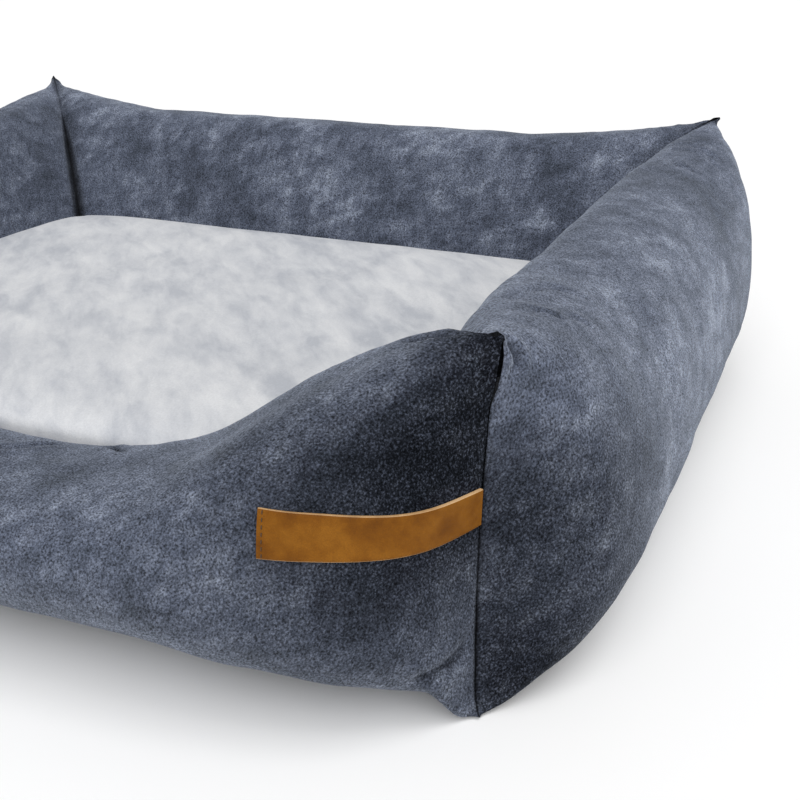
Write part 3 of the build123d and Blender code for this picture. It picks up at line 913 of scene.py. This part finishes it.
def strip_grid(grid):
    """Points and normals over the leather strip, from its free end to the corner seam."""
    normals = normals_of(grid)[:, :crown_column]
    outside = grid[:, :crown_column]
    lines = []
    for share in np.linspace(0, 1, label_rows + 1):
        line = []
        for points, normal in zip(outside, normals):
            x = points[:, 0].mean()
            sag = smooth(label_left, label_sag_end, x)
            height = label_low - label_sag[0] * sag
            height += (label_high - label_sag[1] * sag - height) * share
            height -= label_droop * smooth(label_left + label_droop_reach, label_left, x)
            line.append(np.concatenate([at_height(points, values, height) for values in (points, normal)]))
        line = np.array(line)
        step = np.linalg.norm(np.diff(line[:, :3], axis=0), axis=1)
        length = np.concatenate([[0], np.cumsum(step)])
        first = np.interp(label_left - label_slant * share, line[:, 0], length)
        stops = np.linspace(first, length[-1] - label_seam_gap, label_columns + 1)
        lines.append(np.stack([np.interp(stops, length, line[:, axis]) for axis in range(6)], -1))
    strip = np.array(lines).transpose(1, 0, 2)
    settled = strip.copy()
    for _ in range(label_settling):
        settled[1:-1] = (settled[:-2] + 2 * settled[1:-1] + settled[2:]) / 4
    return settled[..., :3], settled[..., 3:] / np.linalg.norm(settled[..., 3:], axis=-1, keepdims=True)


def strip_rings(points, normals):
    """Rings of points across the strip, with softened edges: one ring for each column."""
    inward = points.mean(axis=1, keepdims=True) - points
    inward /= np.maximum(np.linalg.norm(inward, axis=-1, keepdims=True), tiny)
    edge = np.zeros((1, points.shape[1], 1))
    edge[0, [0, -1], 0] = 1
    back = points + normals * label_lift
    front = points + normals * (label_lift + label_thickness) + inward * edge * label_bevel
    rims = points + normals * (label_lift + label_thickness - label_bevel)
    return np.concatenate([rims[:, :1], front, rims[:, -1:], back[:, ::-1]], axis=1)


strip_points, strip_normals = strip_grid(wall_grids["front"])
rings = strip_rings(strip_points, strip_normals)
label = mesh_piece("leather_strip", rings.reshape(-1, 3), closed_tube(*rings.shape[:2]), leather, cut_leather)
label.data.set_sharp_from_angle(angle=leather_sharpness)
# The cut edges along it and the faces at its ends are pale
cut_columns = (0, label_rows + 1, label_rows + 2, rings.shape[1] - 1)
first_end = len(label.data.polygons) - 2
for polygon in label.data.polygons:
    if polygon.index >= first_end or polygon.index % rings.shape[1] in cut_columns:
        polygon.material_index = 1
dress(label, "bed", ["leather_label"])

# Stitches across the free end of the strip
stitch_inset = 0.0028
stitch_count = 7
stitch_length = 0.0026
stitch_radius = 0.00035
stitch_sides = 8
stitch_rings = 9
# How high a stitch's middle stands over the leather, and how far its ends bend down from there, in radii
stitch_bend = (1.2, 2.4)


def stitch_points(centre, way, out):
    """Points of one stitch: a short bent thread whose ends go into the leather."""
    aside = np.cross(way, out)
    points = []
    for share in np.linspace(-1, 1, stitch_rings):
        height = stitch_radius * (stitch_bend[0] - stitch_bend[1] * share ** 4)
        middle = centre + way * (share * stitch_length / 2) + out * height
        for turn in np.arange(stitch_sides) * 2 * pi / stitch_sides:
            points.append(middle + (aside * cos(turn) + out * sin(turn)) * stitch_radius)
    return points


stitch_vertices, stitch_faces = [], []
stitch_column = round(stitch_inset / np.linalg.norm(strip_points[1, 0] - strip_points[0, 0]))
stitch_line, stitch_outs = strip_points[stitch_column], strip_normals[stitch_column]
way = (stitch_line[-1] - stitch_line[0]) / np.linalg.norm(stitch_line[-1] - stitch_line[0])
for share in (np.arange(stitch_count) + 0.5) / stitch_count:
    row = int(share * label_rows)
    centre = stitch_line[row] + (stitch_line[row + 1] - stitch_line[row]) * (share * label_rows - row)
    out = stitch_outs[row]
    start = len(stitch_vertices)
    for face in closed_tube(stitch_rings, stitch_sides):
        stitch_faces.append(tuple(index + start for index in face))
    stitch_vertices += stitch_points(centre + out * (label_lift + label_thickness), way, out)
stitches = mesh_piece("strip_stitches", stitch_vertices, stitch_faces, thread_material())
dress(stitches, "bed")

# Mattress cover: a crowned top, a waisted band and a bottom, round a two-layer foam core
mattress_low, mattress_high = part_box("mattress_cover_band")
top_loft = 0.004
top_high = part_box("mattress_cover_top")[1].z + top_loft
bottom_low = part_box("mattress_cover_bottom")[0].z
half_mattress_x = (mattress_high.x - mattress_low.x) / 2
half_mattress_y = (mattress_high.y - mattress_low.y) / 2
mattress_corner = 0.042
# The middles of its round corners
core_x, core_y = half_mattress_x - mattress_corner, half_mattress_y - mattress_corner
seam_high, seam_low = mattress_high.z, mattress_low.z
# How far from its edge the top rises, and how its slope leans
crown_reach = 0.150
crown_lean = (3.0, 4.5)
# Size and seed of the top's two layers of loose filling
top_layers = ((0.090, 31), (0.040, 32))
edge_cells = 26
edge_crowding = 1.7
middle_cells = (60, 44)


def plan_lines(half, cells):
    """Grid lines across the mattress from edge to edge, close together at the edges."""
    low = -half + crown_reach * np.linspace(0, 1, edge_cells + 1) ** edge_crowding
    middle = np.linspace(low[-1], -low[-1], cells + 1)[1:-1]
    return np.concatenate([low, middle, -low[::-1]])


def plan_grid():
    """Points over the mattress in plan with rounded corners, and their distances to its sides."""
    xs, ys = plan_lines(half_mattress_x, middle_cells[0]), plan_lines(half_mattress_y, middle_cells[1])
    x, y = np.meshgrid(xs, ys, indexing="ij")
    from_x, from_y = half_mattress_x - np.abs(x), half_mattress_y - np.abs(y)
    past_x, past_y = np.clip(np.abs(x) - core_x, 0, None), np.clip(np.abs(y) - core_y, 0, None)
    shrink = np.maximum(past_x, past_y) / np.maximum(np.hypot(past_x, past_y), tiny)
    shrink = np.where((past_x > 0) & (past_y > 0), shrink, 1)
    x = np.sign(x) * (np.minimum(np.abs(x), core_x) + past_x * shrink)
    y = np.sign(y) * (np.minimum(np.abs(y), core_y) + past_y * shrink)
    return x, y + ear_centre_y, from_x, from_y


def crowned_top(inset, seam, high, softness):
    """A crowned panel over the mattress in plan, drawn in all round by an inset, as a grid of points."""
    x, y, from_x, from_y = plan_grid()
    lift = rise(from_x, crown_reach, *crown_lean) * rise(from_y, crown_reach, *crown_lean)
    points = np.stack([
        x * (half_mattress_x - inset) / half_mattress_x,
        (y - ear_centre_y) * (half_mattress_y - inset) / half_mattress_y + ear_centre_y,
        seam + (high - seam) * lift,
    ], -1)
    soft = cloud(points, *top_layers[0]) + 0.5 * cloud(points, *top_layers[1]) - 1
    points[..., 2] += softness * soft * lift
    return points


def rim_of(grid):
    """Points round the rim of a grid, in order."""
    return np.concatenate([grid[0], grid[1:, -1], grid[-1, -2::-1], grid[-2:0:-1, 0]])


def drawn_in(rim, amount):
    """Rim points drawn in by an amount, square to the rounded side of the mattress."""
    offset = rim[:, :2] - (0, ear_centre_y)
    core = np.clip(offset, (-core_x, -core_y), (core_x, core_y))
    out = offset - core
    length = np.linalg.norm(out, axis=1, keepdims=True)
    return core + out * (length - amount) / length + (0, ear_centre_y)


def wrapped_piece(name, rows, material, top=None, bottom=False):
    """A strip round the mattress through rows of height and draw, with a panel on top or a flat bottom."""
    outline = rim_of(crowned_top(0, seam_high, top_high, 0))
    rings = np.concatenate([
        np.column_stack([drawn_in(outline, amount), np.full(len(outline), height)]) for height, amount in rows
    ])
    faces = tube_faces(len(rows), len(outline))
    if bottom:
        faces.append(tuple(range(len(rings) - len(outline), len(rings))))
    if top is not None:
        faces += sheet_faces(*top.shape[:2], start=len(rings))
        rings = np.concatenate([rings, top.reshape(-1, 3)])
    return mesh_piece(name, rings, faces, material)


# Rows round the mattress: height, and how far the cloth is drawn in there
seam_tuck = 0.0018
seam_lip = 0.0016
foot_tuck = 0.0056
top_softness = 0.0012
top_panel = crowned_top(0, seam_high, top_high, top_softness)
top_rows = [(seam_high, 0), (seam_high - 0.0012, 0.0004), (seam_high - seam_lip, seam_tuck)]
waist_rows = [
    (0.080, 0.0024), (0.070, 0.0062), (0.060, 0.0092), (0.050, 0.0100), (0.040, 0.0100), (0.030, 0.0080),
    (0.020, 0.0052),
]
band_rows = [
    (seam_high - seam_lip, seam_tuck), (seam_high - 0.0030, 0.0008), *waist_rows, (seam_low + 0.0012, 0.0042),
    (seam_low, foot_tuck),
]
bottom_rows = [
    (seam_low, foot_tuck), (seam_low - 0.0012, 0.0048), (0.0065, 0.0080), (0.0042, 0.0120),
    (bottom_low, 0.0170),
]
for part, rows, panel in (
    ("top", top_rows, {"top": top_panel}),
    ("band", band_rows, {}),
    ("bottom", bottom_rows, {"bottom": True}),
):
    piece = wrapped_piece(f"mattress_{part}", rows, ticking, **panel)
    dress(piece, "mattress", [f"mattress_cover_{part}"])

# Foam core: both layers are cut blocks with rounded corners, and the upper one follows the crown
foam_gap = 0.004
for name, colours, edge in (
    ("memory_foam", ((0.60, 0.53, 0.34), (0.80, 0.74, 0.54)), seam_high - foam_gap),
    ("support_foam", ((0.42, 0.48, 0.54), (0.62, 0.68, 0.74)), None),
):
    low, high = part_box(name)
    slab_top = crowned_top(half_mattress_x - high.x, edge or high.z, high.z - (foam_gap if edge else 0), 0)
    side_rim = rim_of(slab_top)
    slab_rings = np.concatenate([side_rim, side_rim])
    slab_rings[len(side_rim):, 2] = low.z
    faces = tube_faces(2, len(side_rim)) + [tuple(range(len(side_rim), 2 * len(side_rim)))]
    faces += sheet_faces(*slab_top.shape[:2], start=len(slab_rings))
    slab_points = np.concatenate([slab_rings, slab_top.reshape(-1, 3)])
    slab = mesh_piece(f"{name}_block", slab_points, faces, foam_material(name, *colours))
    dress(slab, "mattress", [name])

# The bottom sheet and the zips keep the shapes of their solids
sheet, tape, coil, metal = sheet_material(), tape_material(), coil_material(), metal_material()
finishes = {"base_panel": sheet}
for zip_name in ("wall_zip", "mattress_zip"):
    finishes[f"{zip_name}_tape"] = tape
    finishes[f"{zip_name}_chain"] = coil
    for part in ("stops", "slider", "pull"):
        finishes[f"{zip_name}_{part}"] = metal
for name, material in finishes.items():
    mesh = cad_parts[name].data
    mesh.materials.clear()
    mesh.materials.append(material)

# Floor
floor_reach = 14.0
corners = [(x * floor_reach, y * floor_reach, 0) for x, y in ((-1, -1), (1, -1), (1, 1), (-1, 1))]
mesh_piece("floor", corners, [(0, 1, 2, 3)], floor_material())

# Camera at the photograph's place
focal_pixels = 1095.35
picture_pixels = 800
sensor_width = 36.0
camera_place = Vector((0.6431, -0.9025, 0.4732))
yaw, pitch, roll = -0.4141, 0.4086, 0.0092
forward = Vector((sin(yaw) * cos(pitch), cos(yaw) * cos(pitch), -sin(pitch)))
level_right = Vector((cos(yaw), -sin(yaw), 0))
level_down = forward.cross(level_right)
right = level_right * cos(roll) + level_down * sin(roll)
down = level_right * -sin(roll) + level_down * cos(roll)
camera_data = bpy.data.cameras.new("camera")
camera_data.lens = focal_pixels / picture_pixels * sensor_width
camera_data.sensor_width = sensor_width
camera_data.clip_start = 0.02
camera_data.clip_end = 60
camera = bpy.data.objects.new("camera", camera_data)
camera_turn = Matrix((right, -down, -forward)).transposed().to_4x4()
camera.matrix_world = Matrix.Translation(camera_place) @ camera_turn
bpy.context.scene.collection.objects.link(camera)
bpy.context.scene.camera = camera

# Soft studio light: a white room, one broad light high in front and a smaller one overhead
room_strength = 0.38
world = bpy.data.worlds.new("studio")
world.use_nodes = True
background = world.node_tree.nodes["Background"].inputs
background["Color"].default_value = (1, 1, 1, 1)
background["Strength"].default_value = room_strength
bpy.context.scene.world = world
bpy.context.scene.view_settings.view_transform = "Standard"


def distant_light(name, way, power, spread):
    """A far light that shines from a direction, with soft shadows by how wide it spreads."""
    data = bpy.data.lights.new(name, "SUN")
    data.energy = power
    data.angle = radians(spread)
    light = bpy.data.objects.new(name, data)
    light.rotation_euler = Vector(way).to_track_quat("Z", "Y").to_euler()
    bpy.context.scene.collection.objects.link(light)


distant_light("front_light", (0.45, -0.90, 1.00), 2.3, 60)
distant_light("top_light", (0.40, -0.05, 1.00), 0.75, 25)
